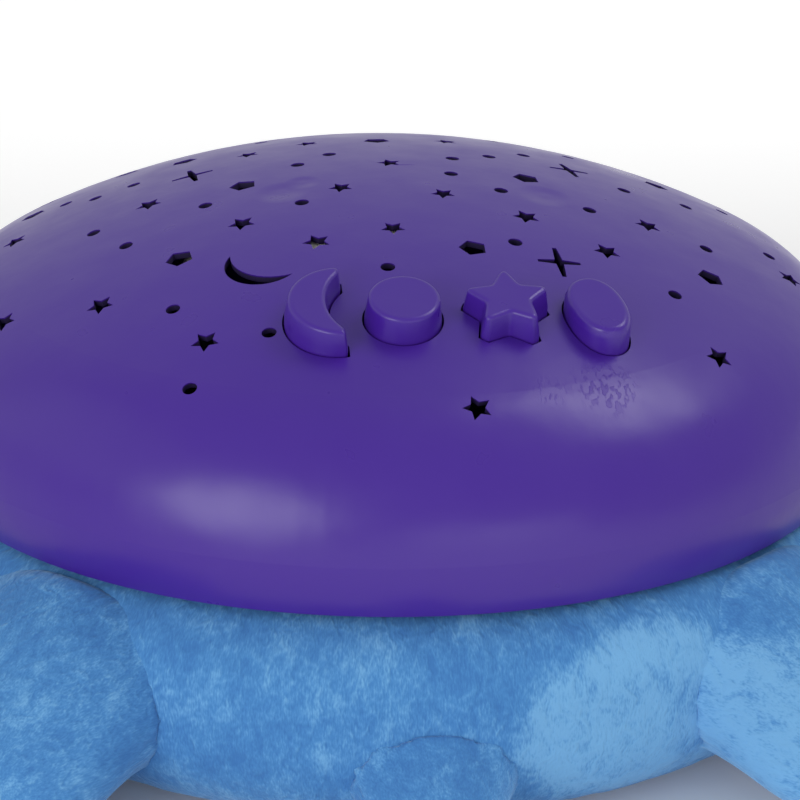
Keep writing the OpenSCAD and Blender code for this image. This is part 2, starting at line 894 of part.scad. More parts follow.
// The middle cell is turned end for end, so its spring is at the other end
function spring_side(x) = x == 0 ? 1 : -1;
function contact_tab_y(x) = spring_side(x) * (bay_l / 2 - contact_t);

module battery(x) {
    s = spring_side(x);
    color("#c9a23a")
        translate([x, s * (bay_l / 2 - contact_t - spring_l), cell_z])
            rotate([s * 90, 0, 0]) {
                cylinder(d = cell_d, h = cell_l - 1);
                cylinder(d = 3.8, h = cell_l);
            }
}

// A conical coil of round wire, from the contact plate to the cell's flat end
module battery_spring() {
    turns = 3;
    steps = 14 * turns;
    wire = 0.6;
    coil = [
        for (i = [0 : steps])
            let (a = 360 * turns * i / steps, r = 4 - 1.4 * i / steps)
                [r * cos(a), r * sin(a), wire / 2 + (spring_l - wire) * i / steps]
    ];
    sweep(coil, wire, wire, [0, 0, 1], 6);
}

module contact_plate(x, side) {
    y = side * bay_l / 2;
    translate([x - 4, min(y, y - side * contact_t), well_floor_z + 0.5])
        cube([8, contact_t, cell_d]);
    if (x != 0 && side == spring_side(x))
        translate([x - 1.5, min(y, y - side * contact_t), cell_z])
            cube([3, contact_t, bay_top_z + bay_wall + 1 - cell_z]);
}

module spring_contacts() {
    color(steel)
        for (x = [-cell_pitch, 0, cell_pitch]) {
            s = spring_side(x);
            contact_plate(x, s);
            translate([x, s * (bay_l / 2 - contact_t), cell_z])
                rotate([s * 90, 0, 0])
                    battery_spring();
        }
}

// Plates with a raised nub that meets the cell's button end
module flat_contacts() {
    color(steel)
        for (x = [-cell_pitch, 0, cell_pitch]) {
            s = -spring_side(x);
            contact_plate(x, s);
            translate([x, s * (bay_l / 2 - contact_t), cell_z])
                rotate([s * 90, 0, 0])
                    cylinder(d = 5, h = cell_gap);
        }
}

module battery_leads() {
    color("firebrick")
        for (side = [-1, 1]) {
            tab = [side * cell_pitch, contact_tab_y(cell_pitch) + 0.2, bay_top_z + bay_wall + 1];
            sweep(
                smooth_path([
                    tab + [0, 0, 0.6],
                    tab + [side * 2.4, -1.7, 1.4],
                    tab + [side * 4.8, -3.4, 2.2],
                    [tab[0] + side * 7, tab[1] - 5, main_board_z - 0.7]
                ], 3),
                1.2, 1.2, [0, 0.2, 1], 8
            );
        }
}

module battery_door() {
    plate_back = hinge_y;
    color(charcoal)
        difference() {
            union() {
                translate([-door_w / 2, door_front_y, housing_z])
                    cube([door_w, plate_back - door_front_y, door_t]);
                translate([-tongue_w / 2, door_front_y - tongue_l, housing_z])
                    cube([tongue_w, tongue_l + 1, door_t]);
                translate([-door_w / 2, hinge_y, hinge_z])
                    rotate([0, 90, 0])
                        cylinder(r = knuckle_r, h = door_w);
                translate([-door_w / 2 - hinge_pin_l, hinge_y, hinge_z])
                    rotate([0, 90, 0])
                        cylinder(r = hinge_pin_r, h = door_w + 2 * hinge_pin_l, $fn = 32);
            }
            translate([0, door_screw_y, housing_z - 1])
                cylinder(d = screw_clear_d, h = door_t + 2);
            translate([0, door_screw_y, housing_z - 1])
                cylinder(d = screw_head_d + 0.6, h = 1 + door_t / 2);
        }
}

module battery_door_screw() {
    color(steel)
        translate([0, door_screw_y, housing_z + door_t / 2])
            screw(screw_d, door_t / 2 + door_gap + door_screw_reach, screw_head_d, door_t / 2);
}

// ---- Plush ----

// Section of the plush ring: a flat foot and a full side that tucks in under the shell's rim
module body_section(grow) {
    top_x = body_r - body_top_arc;
    foot_x = body_r - body_foot_arc;
    top_arc_z = body_top_z - body_top_arc;
    translate([top_x, top_arc_z])
        circle(r = body_top_arc + grow, $fn = 96);
    intersection() {
        translate([foot_x, body_foot_arc])
            circle(r = body_foot_arc + grow, $fn = 96);
        translate([0, -2 * body_foot_arc])
            square([2 * body_r, 2 * body_foot_arc + (body_foot_arc + top_arc_z) / 2]);
    }
    polygon([
        [0, -grow], [foot_x, -grow], [foot_x, body_foot_arc], [body_r + grow, body_foot_arc],
        [body_r + grow, top_arc_z], [top_x, top_arc_z], [top_x, body_top_z + grow],
        [0, body_top_z + grow]
    ]);
}

module body_form(grow) {
    rotate_extrude($fn = 160)
        body_section(grow);
}

module plush_body() {
    color(plush_blue)
        difference() {
            body_form(0);
            translate([0, 0, housing_z - soft_gap])
                cylinder(r = well_r + pocket_gap, h = rim_z, $fn = 160);
            translate([-window_w / 2, window_front_y, -1])
                cube([window_w, window_back_y - window_front_y, housing_z + 2]);
            translate([-flap_w / 2 - soft_gap, flap_front_y - soft_gap, -1])
                cube([
                    flap_w + 2 * soft_gap,
                    flap_hinge_y - flap_front_y + 1.5 * soft_gap,
                    recess_z + 1
                ]);
        }
}

module belly_flap() {
    color(plush_blue)
        translate([-flap_w / 2, flap_front_y, 0])
            cube([flap_w, flap_hinge_y - flap_front_y - soft_gap / 2, flap_t]);
}

module tape(z) {
    translate([-window_w / 2, flap_front_y + 1, z])
        cube([window_w, tape_l, tape_t]);
}

module hook_strip() {
    color(charcoal)
        tape(flap_t);
}

module loop_strip() {
    color(charcoal)
        tape(flap_t + tape_t);
}

module clear_of_body() {
    difference() {
        children();
        body_form(soft_gap);
        dome_solid(-soft_gap, soft_gap);
    }
}

// One cushion of a limb: [across, outwards, up] of its centre, and its half sizes
module pad(place, size) {
    translate([place[0], -place[1], place[2]])
        scale(size)
            sphere(r = 1, $fn = 32);
}

module head_form() {
    hull() {
        translate([0, body_r - limb_sink, head_z - 13])
            sphere(r = 0.62 * head_r, $fn = 32);
        translate([0, head_y, head_z])
            scale([1.06, 1, 0.96])
                sphere(r = head_r, $fn = 32);
        translate([0, head_reach - 0.68 * head_r, head_z - 5])
            sphere(r = 0.68 * head_r, $fn = 32);
    }
}

module plush_head() {
    color(plush_blue)
        clear_of_body()
            head_form();
}

eye_r = 4.6;
function eye_at(side) = [side * 0.66 * head_r, head_y + 0.62 * head_r, head_z + 0.36 * head_r];

module eyes() {
    color("black")
        for (side = [-1, 1])
            translate(eye_at(side))
                sphere(r = eye_r, $fn = 32);
}

module tail() {
    color(plush_blue)
        clear_of_body()
            hull() {
                pad([0, body_r - limb_sink, tail_root_z], [17, 14, tail_root_z - seam_clear]);
                pad([0, body_r + tail_l - tail_tip_r, tail_tip_z], [tail_tip_r, tail_tip_r, tail_tip_z - 1]);
            }
}

// A flipper: thick at its seam, broad in the middle, thin and turned back at its tip
module flipper(bearing, reach, root_z, breadth, turn_back) {
    side = sign(bearing);
    root_h = root_z - seam_clear;
    color(plush_blue)
        clear_of_body()
            rotate([0, 0, bearing])
                hull() {
                    pad([0, body_r - limb_sink, root_z], [breadth * 0.85, flipper_root_l, root_h]);
                    pad(
                        [-side * turn_back / 3, (body_r + reach) / 2, flipper_mid_z],
                        [breadth, flipper_mid_l, flipper_mid_h]
                    );
                    pad(
                        [-side * turn_back, reach - flipper_tip_l, flipper_tip_z],
                        [breadth * 0.66, flipper_tip_l, flipper_tip_h]
                    );
                }
}

module front_flipper(side) {
    flipper(side * front_bearing, front_reach, front_root_z, front_breadth, front_turn);
}

module rear_flipper(side) {
    flipper(side * rear_bearing, rear_reach, rear_root_z, rear_breadth, rear_turn);
}

dome_shell();
moon_button();
round_button();
star_button();
oval_button();
plunger(MOON_AT);  // moon_plunger
plunger(ROUND_AT);  // round_plunger
plunger(STAR_AT);  // star_plunger
plunger(OVAL_AT);  // oval_plunger
switch_bodies();
button_board();
button_leads();
base_housing();
housing_screws();
board_screws();
main_board();
board_components();
light_tower();
led_board();
led(0, "royalblue");  // blue_led
led(1, "seagreen");  // green_led
led(2, "orange");  // amber_led
led_leads();
battery(-cell_pitch);  // battery_1
battery(0);  // battery_2
battery(cell_pitch);  // battery_3
spring_contacts();
flat_contacts();
battery_leads();
battery_door();
battery_door_screw();
plush_body();
plush_head();
eyes();
tail();
front_flipper(-1);  // left_front_flipper
front_flipper(1);  // right_front_flipper
rear_flipper(-1);  // left_rear_flipper
rear_flipper(1);  // right_rear_flipper
belly_flap();
hook_strip();
loop_strip();
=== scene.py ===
"""Star night light seated in a plush turtle: the looks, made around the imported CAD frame. Metres, +Z up."""

import math

import bpy
import numpy as np
from mathutils import Matrix, Vector


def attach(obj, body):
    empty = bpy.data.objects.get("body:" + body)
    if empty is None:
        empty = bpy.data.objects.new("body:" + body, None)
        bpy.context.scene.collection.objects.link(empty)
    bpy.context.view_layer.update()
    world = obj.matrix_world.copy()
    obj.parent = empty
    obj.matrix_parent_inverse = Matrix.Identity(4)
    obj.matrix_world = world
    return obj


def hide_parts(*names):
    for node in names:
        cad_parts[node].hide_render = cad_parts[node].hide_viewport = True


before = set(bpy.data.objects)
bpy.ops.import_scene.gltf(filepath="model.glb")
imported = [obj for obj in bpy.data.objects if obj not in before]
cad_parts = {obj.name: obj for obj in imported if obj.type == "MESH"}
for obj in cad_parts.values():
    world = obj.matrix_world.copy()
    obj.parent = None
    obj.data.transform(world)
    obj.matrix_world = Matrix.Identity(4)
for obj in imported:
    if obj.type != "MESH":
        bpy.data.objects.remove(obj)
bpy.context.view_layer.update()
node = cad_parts


# ---- Dome shell ----
# The light's lid, a dome of violet ABS moulded in one shot with its screw posts and button guides.
# The tool was polished, so the outside is glossy, a little wavy, and sunk where posts stand behind it.

# Millimetres. In section the dome is a shoulder arc from its rim up to a flatter crown arc, which meets
# the shoulder without a corner.
SHELL_RADIUS = 100.0
RIM_HEIGHT = 56.8
DOME_RISE = 48.0
SHOULDER_RADIUS = 31.0
SHOULDER_RING = SHELL_RADIUS - SHOULDER_RADIUS
CROWN_RADIUS = (DOME_RISE**2 + SHOULDER_RING**2 - SHOULDER_RADIUS**2) / (2 * (DOME_RISE - SHOULDER_RADIUS))
CROWN_CENTRE = RIM_HEIGHT + DOME_RISE - CROWN_RADIUS
CROWN_EDGE = SHOULDER_RING * CROWN_RADIUS / (CROWN_RADIUS - SHOULDER_RADIUS)


class Value:
    """A shader socket that is used like a number: each operator adds one Math node."""

    def __init__(self, finish, socket):
        self.finish = finish
        self.socket = socket

    def math(self, operation, *terms):
        return self.finish.node("Math", {"operation": operation}, dict(enumerate(terms)))

    def __add__(self, other):
        return self.math("ADD", self, other)

    def __sub__(self, other):
        return self.math("SUBTRACT", self, other)

    def __rsub__(self, other):
        return self.math("SUBTRACT", other, self)

    def __mul__(self, other):
        return self.math("MULTIPLY", self, other)

    def __pow__(self, other):
        return self.math("POWER", self, other)

    __radd__ = __add__
    __rmul__ = __mul__

    def rise(self, low, high):
        """0 below low, 1 above high, and a smooth ramp between them; low may be the larger one."""
        settings = {"interpolation_type": "SMOOTHSTEP"}
        return self.finish.node("MapRange", settings, {0: self, 1: low, 2: high})


class Finish:
    """A material's node tree. node() adds any node: its settings come first, then its sockets."""

    def __init__(self, name):
        self.material = bpy.data.materials.new(name)
        self.material.use_nodes = True
        self.tree = self.material.node_tree
        self.tree.nodes.clear()
        self.place = self.node("TexCoord", out="Object")

    def node(self, kind, settings=None, sockets=None, out=0):
        made = self.tree.nodes.new("ShaderNode" + kind)
        for key, setting in (settings or {}).items():
            setattr(made, key, setting)
        for key, given in (sockets or {}).items():
            if isinstance(given, Value):
                self.tree.links.new(given.socket, made.inputs[key])
            else:
                made.inputs[key].default_value = given
        return Value(self, made.outputs[out])

    def noise(self, size, detail=2, place=None, stretch=(1, 1, 1), out=0):
        """Noise whose lumps are about size metres across, stretched along the axes of place; 0 to 1.
        Its output 1 is a colour, three such noises at once."""
        scale = tuple(1 / (size * s) for s in stretch)
        at = self.node("Mapping", {"vector_type": "POINT"}, {0: place or self.place, "Scale": scale})
        return self.node("TexNoise", {}, {"Vector": at, "Scale": 1.0, "Detail": detail}, out)

    def away(self, point):
        """Distance in metres from a point of the object."""
        return self.node("VectorMath", {"operation": "DISTANCE"}, {0: self.place, 1: point}, "Value")

    def blend(self, factor, first, second):
        """A colour that goes from first to second as factor goes from 0 to 1."""
        return self.node("Mix", {"data_type": "RGBA"}, {0: factor, 6: first, 7: second}, 2)

    def bump(self, height, depth, under=None):
        """A normal bent by a height of 0 to 1 that stands for depth metres."""
        sockets = {"Strength": 1.0, "Distance": depth, "Height": height}
        if under:
            sockets["Normal"] = under
        return self.node("Bump", {}, sockets)

    def close(self, sockets):
        """Ends the tree in one Principled shader with these sockets, and gives the material."""
        shader = self.node("BsdfPrincipled", {}, sockets)
        end = self.tree.nodes.new("ShaderNodeOutputMaterial")
        self.tree.links.new(shader.socket, end.inputs["Surface"])
        return self.material


def dress(name, material):
    """Gives a CAD node one material in each of its slots."""
    for place in node[name].material_slots:
        place.material = material


VIOLET = (0.052, 0.011, 0.282, 1)
VIOLET_PALE = (0.057, 0.0142, 0.294, 1)
# Painted shade: the dark colour given to the walls of the holes and the inside of the dome.
VIOLET_PAINTED_SHADE = (0.009, 0.004, 0.03, 1)


def below_dome(f):
    """1 on the walls of the holes and inside the dome, 0 on its outside: a ramp over the depth under the
    dome's surface, which is a sphere out to the crown's edge and a torus beyond it."""
    flat = f.node("VectorMath", {"operation": "MULTIPLY"}, {0: f.place, 1: (1, 1, 0)})
    r = f.node("VectorMath", {"operation": "LENGTH"}, {0: flat}, "Value")
    z = f.node("SeparateXYZ", {}, {0: f.place}, 2)
    crown = CROWN_RADIUS / 1000 - f.away((0, 0, CROWN_CENTRE / 1000))
    from_ring, from_rim = r - SHOULDER_RING / 1000, z - RIM_HEIGHT / 1000
    shoulder = SHOULDER_RADIUS / 1000 - (from_ring * from_ring + from_rim * from_rim) ** 0.5
    outer = r.rise((CROWN_EDGE - 0.4) / 1000, (CROWN_EDGE + 0.4) / 1000)
    depth = crown * (1 - outer) + shoulder * outer
    return depth.rise(0.00012, 0.0004) * from_rim.rise(0, 0.0012)


def violet_plastic(name, hollows=(), scuffs=(), shade_holes=False):
    """Glossy violet ABS: faint colour drift, patches of duller gloss, and a wavy skin. Hollows and scuffs
    are each a point in metres, a radius and, for a hollow, its depth. With shade_holes, the hole walls
    and the dome's inside get a painted shade, as where little light falls, and duller gloss."""
    f = Finish(name)
    drift = f.noise(0.03)
    patches = f.noise(0.01, 3)
    skin = f.bump(f.noise(0.014, 1), 0.00025)
    skin = f.bump(f.noise(0.0032, 2), 0.00003, skin)
    for point, radius, depth in hollows:
        skin = f.bump(f.away(point).rise(0.2 * radius, radius), depth, skin)
    worn = 0.0
    for point, radius in scuffs:
        fine = f.noise(0.0009, 3, stretch=(1, 2, 4)).rise(0.52, 0.6)
        worn = f.away(point).rise(radius, 0.3 * radius) * fine + worn
        skin = f.bump(worn, 0.00002, skin)
    colour = f.blend(drift, VIOLET, VIOLET_PALE)
    rough = 0.22 + 0.18 * patches + 0.12 * worn
    if shade_holes:
        # Painted shade: the walls of the holes and the dome's inside are darkened and dulled, as where little
        # light falls.
        wall = below_dome(f)
        colour = f.blend(0.9 * wall, colour, VIOLET_PAINTED_SHADE)
        rough = rough + 0.4 * wall
    return f.close({
        "Base Color": colour,
        "Roughness": rough,
        "Normal": skin,
        "IOR": 1.5,
    })


shell_plastic = violet_plastic(
    "violet_abs_shell",
    hollows=(
        ((-0.0223, -0.0118, 0.1030), 0.006, 0.0003),
        ((0.0313, -0.0133, 0.1016), 0.006, 0.0003),
        ((-0.0177, -0.0077, 0.1038), 0.004, 0.0002),
    ),
    scuffs=(((0.0344, -0.0774, 0.0836), 0.009), ((0.0231, -0.0805, 0.0841), 0.005)),
    # The dome's hole walls and inside get a painted shade.
    shade_holes=True,
)
dress("dome_shell", shell_plastic)


# ---- Buttons ----
# A moon, a round, a star and an oval button of the same violet ABS, each moulded with a flange that
# holds it under the shell and a stem that presses its switch. Their sides taper, for the mould, and
# their edges and corners are rounded.

# Millimetres. The row of buttons stands on a plane that touches the crown, PANEL_RADIUS from the axis.
PANEL_RADIUS = 62.5
PANEL_TILT = math.asin(PANEL_RADIUS / CROWN_RADIUS)
PANEL_HEIGHT = CROWN_CENTRE + CROWN_RADIUS * math.cos(PANEL_TILT)
BUTTON_LIFT = 5.3
DRAFT = 0.65
EDGE_RADIUS = 0.75
EDGE_LEVELS = 7
TOP_MARGIN = 0.4
CORNER_SPREAD = 0.45
FLANGE_LIP = 1.0
FLANGE_TOP = -8.3
FLANGE_FOOT = -9.5
STEM_RADIUS = 1.5
STEM_SIDES = 32
STEM_FOOT = -11.0


def arc(centre, radius, start, stop, count):
    """Points along a circle's arc: centre plus radius at count angles from start to stop, the last one
    left out."""
    a = np.linspace(start, stop, count, endpoint=False)
    return np.stack([centre[0] + radius * np.cos(a), centre[1] + radius * np.sin(a)], 1)


def line(start, stop, count):
    """Points along a straight line, spread evenly from start to stop, the last one left out."""
    t = np.linspace(0, 1, count, endpoint=False)[:, None]
    return np.array(start) * (1 - t) + np.array(stop) * t


def moon_outline(grow):
    """A disc with a larger disc bitten out of it, cut short so that its horns are blunt."""
    disc_x, disc_radius = 4.6, 10 + grow
    bite_x, bite_radius = 14.6, 13 - grow
    horn_x = 4.7 + grow
    a, b = math.acos((horn_x - disc_x) / disc_radius), math.acos((horn_x - bite_x) / bite_radius)
    tip, root = disc_radius * math.sin(a), bite_radius * math.sin(b)
    return np.concatenate([
        arc((disc_x, 0), disc_radius, a, 2 * math.pi - a, 158),
        line((horn_x, -tip), (horn_x, -root), 8),
        arc((bite_x, 0), bite_radius, 2 * math.pi - b, b, 92),
        line((horn_x, root), (horn_x, tip), 8),
    ])


def round_outline(grow):
    """A circle."""
    radius = 6.8
    return arc((0, 0), radius + grow, 0, 2 * math.pi, 216)


def star_outline(grow):
    """A straight-sided five-point star whose points are cut short by a disc. side is the distance from
    its middle to its sides, which move out as it grows."""
    point, waist, disc_radius = 8.8, 4.5, 7.8
    side = point * waist * math.sin(0.2 * math.pi)
    side /= math.hypot(point - waist * math.cos(0.2 * math.pi), waist * math.sin(0.2 * math.pi))
    corners = []
    for i in range(11):
        reach = (waist if i % 2 else point) * (1 + grow / side)
        angle = math.radians(90 + 36 * i)
        corners.append((reach * math.cos(angle), reach * math.sin(angle)))
    star = np.concatenate([line(corners[i], corners[i + 1], 26) for i in range(10)])
    reach = np.linalg.norm(star, axis=1, keepdims=True)
    return star * np.minimum(1, (disc_radius + grow) / reach)


def oval_outline(grow):
    """An ellipse made a little fuller by a power below 1 of the cosine and the sine, and turned."""
    half_width, half_length, power, turn = 5, 8.1, 0.92, math.radians(16)
    t = np.linspace(0, 2 * np.pi, 216, endpoint=False)
    x = (half_width + grow) * np.sign(np.cos(t)) * np.abs(np.cos(t)) ** power
    y = (half_length + grow) * np.sign(np.sin(t)) * np.abs(np.sin(t)) ** power
    return np.stack([x * math.cos(turn) - y * math.sin(turn), x * math.sin(turn) + y * math.cos(turn)], 1)


def eased(outline, spread):
    """The outline with its corners rounded: its coordinates are blurred along the way round by a bell
    curve of that spread in millimetres, as the product of their Fourier series with the bell's."""
    count = len(outline)
    step = np.linalg.norm(outline - np.roll(outline, 1, 0), axis=1).mean()
    bell = np.exp(-2 * (np.pi * np.fft.fftfreq(count) * spread / step) ** 2)
    return np.fft.ifft(np.fft.fft(outline, axis=0) * bell[:, None], axis=0).real


def on_panel(points):
    """Millimetres across, up the slope and out of the shell, turned into metres in the frame."""
    x, y, z = points[:, 0], points[:, 1], points[:, 2]
    c, s = math.cos(PANEL_TILT), math.sin(PANEL_TILT)
    return np.stack([x, y * c - z * s - PANEL_RADIUS, y * s + z * c + PANEL_HEIGHT], 1) / 1000


def stack(rings, first=0):
    """A closed solid: each ring joined to the next by a band of quads, and a flat face on each end."""
    n = len(rings[0])
    i = np.arange(n)
    j = (i + 1) % n
    faces = [(first + i[::-1]).tolist()]
    for k in range(len(rings) - 1):
        low = first + k * n
        faces += np.stack([low + i, low + j, low + n + j, low + n + i], 1).tolist()
    faces.append((first + (len(rings) - 1) * n + i).tolist())
    return np.concatenate(rings), faces


def set_out(name, data):
    """A new object that holds this data, linked to the scene."""
    made = bpy.data.objects.new(name, data)
    bpy.context.scene.collection.objects.link(made)
    return made


def mesh_piece(name, points, faces, material, body):
    """One smooth-shaded object at the origin, with its place in its mesh, that rides on a body."""
    mesh = bpy.data.meshes.new(name)
    mesh.from_pydata(points, [], faces)
    mesh.materials.append(material)
    mesh.polygons.foreach_set("use_smooth", np.full(len(mesh.polygons), True))
    mesh.update()
    piece = set_out(name, mesh)
    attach(piece, body)
    return piece


button_plastic = violet_plastic("violet_abs_button")
# Each button has an outline, and a place for it on the panel: across it, and up its slope.
BUTTONS = {
    "moon": (moon_outline, (-19.3, -0.4)),
    "round": (round_outline, (-2.8, -1.5)),
    "star": (star_outline, (17.1, -0.7)),
    "oval": (oval_outline, (34.7, -0.4)),
}
for shape, (outline, place) in BUTTONS.items():
    top = BUTTON_LIFT - CROWN_RADIUS + math.sqrt(CROWN_RADIUS**2 - place[0] ** 2 - place[1] ** 2)
    levels = [
        (FLANGE_FOOT, DRAFT + FLANGE_LIP), (FLANGE_TOP, DRAFT + FLANGE_LIP), (FLANGE_TOP, DRAFT), (0, DRAFT),
        (0.5 * (top - EDGE_RADIUS), DRAFT * (0.5 + 0.5 * EDGE_RADIUS / top)),
    ]
    for turn in np.linspace(0, math.pi / 2, EDGE_LEVELS):
        rise = EDGE_RADIUS * (math.sin(turn) - 1)
        levels.append((top + rise, -DRAFT * rise / top - EDGE_RADIUS * (1 - math.cos(turn))))
    levels.append((top, -EDGE_RADIUS - TOP_MARGIN))
    rings = []
    for z, grow in levels:
        ring = eased(outline(grow), CORNER_SPREAD) + place
        rings.append(np.column_stack([ring, np.full(len(ring), z)]))
    points, faces = stack(rings)
    stem = arc(place, STEM_RADIUS, 0, 2 * math.pi, STEM_SIDES)
    stem_rings = [np.column_stack([stem, np.full(STEM_SIDES, z)]) for z in (STEM_FOOT, FLANGE_FOOT)]
    stem_points, stem_faces = stack(stem_rings, len(points))
    points = on_panel(np.concatenate([points, stem_points]))
    cap = mesh_piece(shape + "_cap", points, faces + stem_faces, button_plastic, shape + "_key")
    edges = cap.modifiers.new("edges", "EDGE_SPLIT")
    edges.split_angle = math.radians(50)
    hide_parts(shape + "_button")


# ---- Works under the shell ----
# Tact switches on a fibreglass board, a tower that lifts three lamps into the dome's middle, and the
# housing of charcoal ABS that closes the light from below. Ribbons of cream PVC join the boards.


def moulded(name, colour, pale, rough, grain=0.0004):
    """Matt moulded plastic: a grained skin and a slow drift of its colour."""
    f = Finish(name)
    return f.close({
        "Base Color": f.blend(f.noise(0.02), colour, pale),
        "Roughness": rough - 0.05 + 0.1 * f.noise(0.006, 3),
        "Normal": f.bump(f.noise(grain), 0.00004),
    })


def metal(name, colour, rough):
    """Plated steel: fine rolled streaks and a roughness that varies."""
    f = Finish(name)
    streaks = f.noise(0.001, 2, stretch=(1, 6, 1))
    return f.close({
        "Base Color": colour,
        "Metallic": 1.0,
        "Roughness": rough - 0.06 + 0.14 * streaks,
        "Normal": f.bump(streaks, 0.00001),
    })


def fibreglass(name, mask_colour, pad_colour):
    """Solder mask over copper: paler tracks where a coarse noise crosses its middle value."""
    f = Finish(name)
    field = f.noise(0.006, 0)
    track = f.node("Math", {"operation": "ABSOLUTE"}, {0: field - 0.5}).rise(0.03, 0.015)
    return f.close({
        "Base Color": f.blend(track, mask_colour, pad_colour),
        "Roughness": 0.35 + 0.1 * f.noise(0.003),
        "Normal": f.bump(track, 0.00003),
    })


def lens(name, colour):
    """Tinted epoxy of a lamp that is off: clear, with a slight cloud inside it."""
    f = Finish(name)
    return f.close({
        "Base Color": f.blend(f.noise(0.001), colour, (*(min(1, 1.25 * c) for c in colour[:3]), 1)),
        "Roughness": 0.08,
        "Transmission Weight": 0.6,
        "IOR": 1.52,
    })


charcoal = moulded("charcoal_abs", (0.022, 0.02, 0.024, 1), (0.03, 0.027, 0.032, 1), 0.5)
cream = moulded("cream_pvc", (0.88, 0.86, 0.79, 1), (0.93, 0.91, 0.85, 1), 0.5)
white_abs = moulded("white_abs", (0.78, 0.77, 0.72, 1), (0.83, 0.82, 0.78, 1), 0.45)
switch_black = moulded("switch_nylon", (0.012, 0.012, 0.014, 1), (0.02, 0.02, 0.022, 1), 0.4)
component_black = moulded("component_epoxy", (0.014, 0.014, 0.016, 1), (0.024, 0.024, 0.027, 1), 0.55)
red_pvc = moulded("red_wire_pvc", (0.42, 0.02, 0.015, 1), (0.5, 0.03, 0.02, 1), 0.4)
green_board = fibreglass("green_fibreglass", (0.012, 0.085, 0.03, 1), (0.03, 0.16, 0.06, 1))
white_board = fibreglass("white_fibreglass", (0.7, 0.7, 0.67, 1), (0.76, 0.76, 0.73, 1))
zinc = metal("zinc_screw", (0.6, 0.6, 0.58, 1), 0.34)
nickel = metal("nickel_contact", (0.66, 0.64, 0.6, 1), 0.26)

for name in ("base_housing", "battery_door"):
    dress(name, charcoal)
for name in ("button_leads", "led_leads"):
    dress(name, cream)
for name in ("moon_plunger", "round_plunger", "star_plunger", "oval_plunger"):
    dress(name, switch_black)
for name in ("housing_screws", "board_screws", "battery_door_screw"):
    dress(name, zinc)
for name in ("spring_contacts", "flat_contacts"):
    dress(name, nickel)
for name in ("button_board", "main_board"):
    dress(name, green_board)
dress("switch_bodies", nickel)
dress("board_components", component_black)
dress("light_tower", white_abs)
dress("led_board", white_board)
dress("battery_leads", red_pvc)
dress("blue_led", lens("blue_lens", (0.05, 0.16, 0.75, 1)))
dress("green_led", lens("green_lens", (0.05, 0.6, 0.2, 1)))
dress("amber_led", lens("amber_lens", (0.8, 0.36, 0.03, 1)))


# ---- Batteries ----
# Three AAA cells in a plain printed sleeve: a copper-coloured band at the button end, black below it,
# and bare steel where the sleeve is shrunk over the rims.


def cell_sleeve(name, turned):
    """The sleeve's bands follow the cell's length, along Y; turned says which end the button is at."""
    f = Finish(name)
    band_start, rim_start, edge = 0.0085, 0.0208, 0.0002
    along = f.node("SeparateXYZ", {}, {0: f.place}, 1) * (1 if turned else -1)
    band = along.rise(band_start, band_start + edge)
    rim = along.rise(rim_start, rim_start + edge)
    colour = f.blend(band, (0.02, 0.02, 0.022, 1), (0.5, 0.23, 0.09, 1))
    return f.close({
        "Base Color": f.blend(rim, colour, (0.6, 0.6, 0.58, 1)),
        "Metallic": 0.6 + 0.4 * rim,
        "Roughness": 0.28 + 0.1 * f.noise(0.004),
        "Normal": f.bump(f.noise(0.002), 0.00003),
    })


sleeve = cell_sleeve("cell_sleeve", True)
sleeve_turned = cell_sleeve("cell_sleeve_turned", False)
dress("battery_1", sleeve)
dress("battery_2", sleeve_turned)
dress("battery_3", sleeve)


# ---- Plush body ----
# A ring of blue short-pile polyester velboa over stuffing, with a pocket in its top for the light and
# a window in its belly. The pile is 2 mm long and lies in small clumps drawn along its lay.

BLUE_SHADE = (0.056, 0.195, 0.49, 1)
BLUE_PILE = (0.078, 0.262, 0.58, 1)
BLUE_TIP = (0.18, 0.43, 0.74, 1)

# Metres: the middle of the painted highlight on the pile, and the least height of any pile.
PILE_HIGHLIGHT_PLACE = (0.055, -0.13, 0.018)
FLOOR_GAP = 0.0001


def velboa(name):
    """Short-pile plush. Its nap attribute gives each point's place across the pile, along its lay and
    out of it, so that soft patches, drawn strokes and fine fibres all follow the cloth. A painted
    highlight lightens the pile towards its pale tips on the right rear flipper and beside it."""
    f = Finish(name)
    nap = f.node("Attribute", {"attribute_name": "nap"}, {}, "Vector")
    bent = f.noise(0.005, 1, nap, out=1)
    bend = (0.005, 0.005, 0.005)
    bent = f.node("VectorMath", {"operation": "MULTIPLY_ADD"}, {0: bent, 1: bend, 2: nap})
    patch = f.noise(0.009, 2, bent, (1, 1.3, 1))
    stroke = f.noise(0.0016, 1, bent, (1, 2.6, 1))
    fibre = f.noise(0.00035, 2, nap, (1, 3.5, 1))
    # Painted highlight: the pile is lightened within about 45 mm of its middle.
    painted_highlight = 1 - f.away(PILE_HIGHLIGHT_PLACE).rise(0.043, 0.05)
    depth = 0.36 * patch + 0.28 * stroke + 0.36 * fibre + 0.16 * painted_highlight
    colour = f.blend(depth.rise(0.34, 0.56), BLUE_SHADE, BLUE_PILE)
    colour = f.blend(depth.rise(0.48, 0.72), colour, BLUE_TIP)
    skin = f.bump(stroke, 0.0004)
    skin = f.bump(fibre, 0.0001, skin)
    return f.close({
        "Base Color": colour,
        "Roughness": 0.9,
        "Specular IOR Level": 0.1,
        "Sheen Weight": 0.5,
        "Sheen Roughness": 0.4,
        "Sheen Tint": (0.5, 0.75, 1.0, 1.0),
        "Normal": skin,
    })


